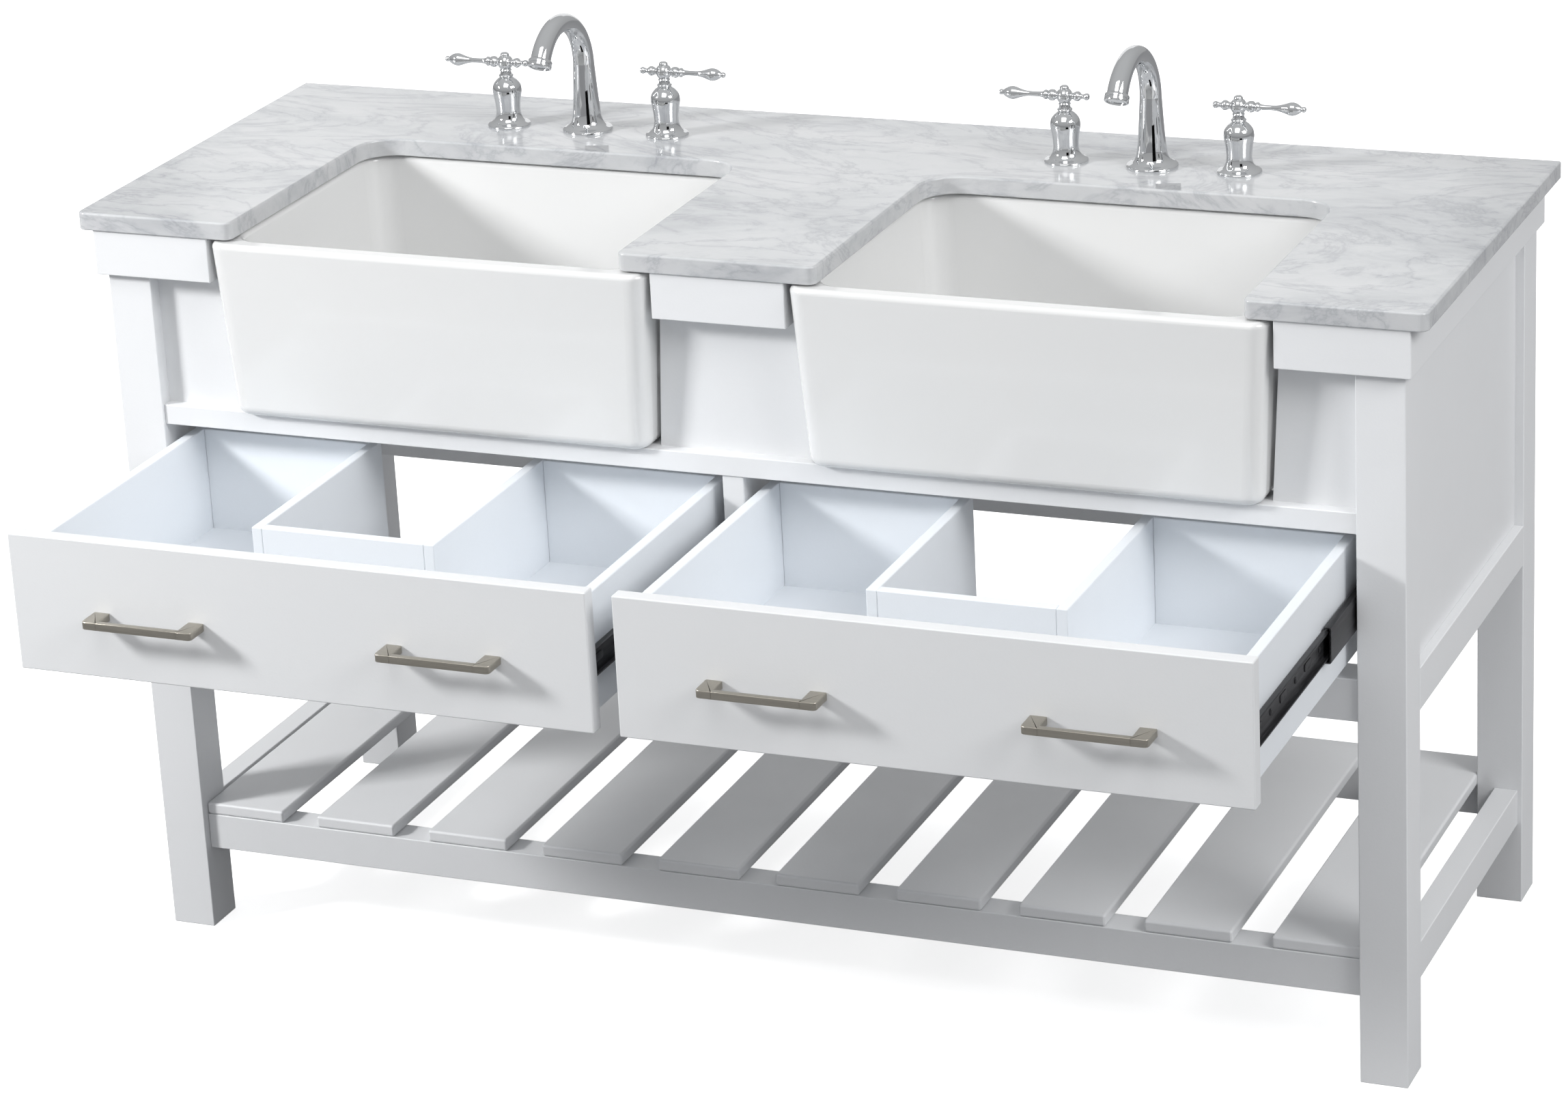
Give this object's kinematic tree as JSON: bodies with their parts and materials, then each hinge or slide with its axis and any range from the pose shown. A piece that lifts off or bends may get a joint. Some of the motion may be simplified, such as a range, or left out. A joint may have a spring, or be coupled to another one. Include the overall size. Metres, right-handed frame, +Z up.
{
  "type": "bathroom vanity cabinet",
  "caption": "Double bathroom vanity with marble top, apron-front sinks, widespread faucets, notched drawers and an open slatted shelf.",
  "frame": {"origin": "on the floor, at the wall plane, on the vanity's centreline", "axes": "+X to the right of a person facing the vanity, +Y towards the wall, +Z up; drawers are drawn out at rest"},
  "size_m": [1.524, 0.907, 1.011],
  "materials": {
    "white_paint": "satin white lacquer on solid wood",
    "drawer_white": "satin cool-white lacquer",
    "marble": "polished white marble with grey veins",
    "sink_glaze": "glossy white glaze",
    "chrome": "mirror polished",
    "nickel": "brushed nickel",
    "slide_black": "black coated steel",
    "brass": "plain turned brass",
    "zinc": "zinc plated steel"
  },
  "bodies": {
    "cabinet": {"aerators": "chrome", "back_lower_rail": "white_paint", "back_upper_rail": "white_paint", "centre_partition": "white_paint", "cornice_front_centre": "white_paint", "cornice_front_left": "white_paint", "cornice_front_right": "white_paint", "cornice_side_left": "white_paint", "cornice_side_right": "white_paint", "countertop": "marble", "drain_bodies": "chrome", "drain_nuts": "brass", "fascia_centre": "white_paint", "fascia_left": "white_paint", "fascia_right": "white_paint", "faucet_nuts": "brass", "faucet_spout_left": "chrome", "faucet_spout_right": "chrome", "front_lower_rail": "white_paint", "front_upper_rail": "white_paint", "leg_front_left": "white_paint", "leg_front_right": "white_paint", "leg_rear_left": "white_paint", "leg_rear_right": "white_paint", "shelf_front_stretcher": "white_paint", "shelf_rear_stretcher": "white_paint", "shelf_side_stretchers": "white_paint", "shelf_slats": "white_paint", "side_panel_left": "white_paint", "side_panel_right": "white_paint", "side_rail_left": "white_paint", "side_rail_right": "white_paint", "sink_left": "sink_glaze", "sink_rear_rail": "white_paint", "sink_right": "sink_glaze", "slide_cabinet_members": "slide_black", "slide_cleats": "white_paint", "valve_bodies": "chrome"},
    "left_drawer": {"drawer_bottom_left": "drawer_white", "drawer_front_left": "white_paint", "drawer_rear_walls_left": "drawer_white", "drawer_sides_left": "drawer_white", "pull_screws_left": "zinc", "pulls_left": "nickel", "slide_drawer_left": "slide_black"},
    "right_drawer": {"drawer_bottom_right": "drawer_white", "drawer_front_right": "white_paint", "drawer_rear_walls_right": "drawer_white", "drawer_sides_right": "drawer_white", "pull_screws_right": "zinc", "pulls_right": "nickel", "slide_drawer_right": "slide_black"},
    "lever_left_cold": {"lever_left_cold": "chrome"},
    "lever_left_hot": {"lever_left_hot": "chrome"},
    "lever_right_cold": {"lever_right_cold": "chrome"},
    "lever_right_hot": {"lever_right_hot": "chrome"},
    "left_slide_middle": {"slide_middle_left": "slide_black"},
    "right_slide_middle": {"slide_middle_right": "slide_black"},
    "left_stopper": {"stopper_left": "chrome"},
    "right_stopper": {"stopper_right": "chrome"}
  },
  "joints": [
    {"name": "left_drawer_slide", "type": "slide", "parent": "cabinet", "child": "left_drawer", "axis": [0, 1, 0], "range_m": [0, 0.344]},
    {"name": "left_slide_middle_travel", "type": "slide", "parent": "cabinet", "child": "left_slide_middle", "axis": [0, 1, 0], "range_m": [0, 0.172]},
    {"name": "right_drawer_slide", "type": "slide", "parent": "cabinet", "child": "right_drawer", "axis": [0, 1, 0], "range_m": [0, 0.344]},
    {"name": "right_slide_middle_travel", "type": "slide", "parent": "cabinet", "child": "right_slide_middle", "axis": [0, 1, 0], "range_m": [0, 0.172]},
    {"name": "left_hot_valve", "type": "hinge", "parent": "cabinet", "child": "lever_left_hot", "pos_m": [-0.437, -0.117, 0.934], "axis": [0, 0, 1], "range_deg": [0, 90]},
    {"name": "left_cold_valve", "type": "hinge", "parent": "cabinet", "child": "lever_left_cold", "pos_m": [-0.239, -0.117, 0.934], "axis": [0, 0, 1], "range_deg": [-90, 0]},
    {"name": "left_stopper_lift", "type": "slide", "parent": "cabinet", "child": "left_stopper", "axis": [0, 0, 1], "range_m": [0, 0.008]},
    {"name": "right_hot_valve", "type": "hinge", "parent": "cabinet", "child": "lever_right_hot", "pos_m": [0.239, -0.117, 0.934], "axis": [0, 0, 1], "range_deg": [0, 90]},
    {"name": "right_cold_valve", "type": "hinge", "parent": "cabinet", "child": "lever_right_cold", "pos_m": [0.437, -0.117, 0.934], "axis": [0, 0, 1], "range_deg": [-90, 0]},
    {"name": "right_stopper_lift", "type": "slide", "parent": "cabinet", "child": "right_stopper", "axis": [0, 0, 1], "range_m": [0, 0.008]}
  ],
  "couplings": [
    {"joint": "left_slide_middle_travel", "follows": "left_drawer_slide", "ratio": 0.5},
    {"joint": "right_slide_middle_travel", "follows": "right_drawer_slide", "ratio": 0.5}
  ]
}
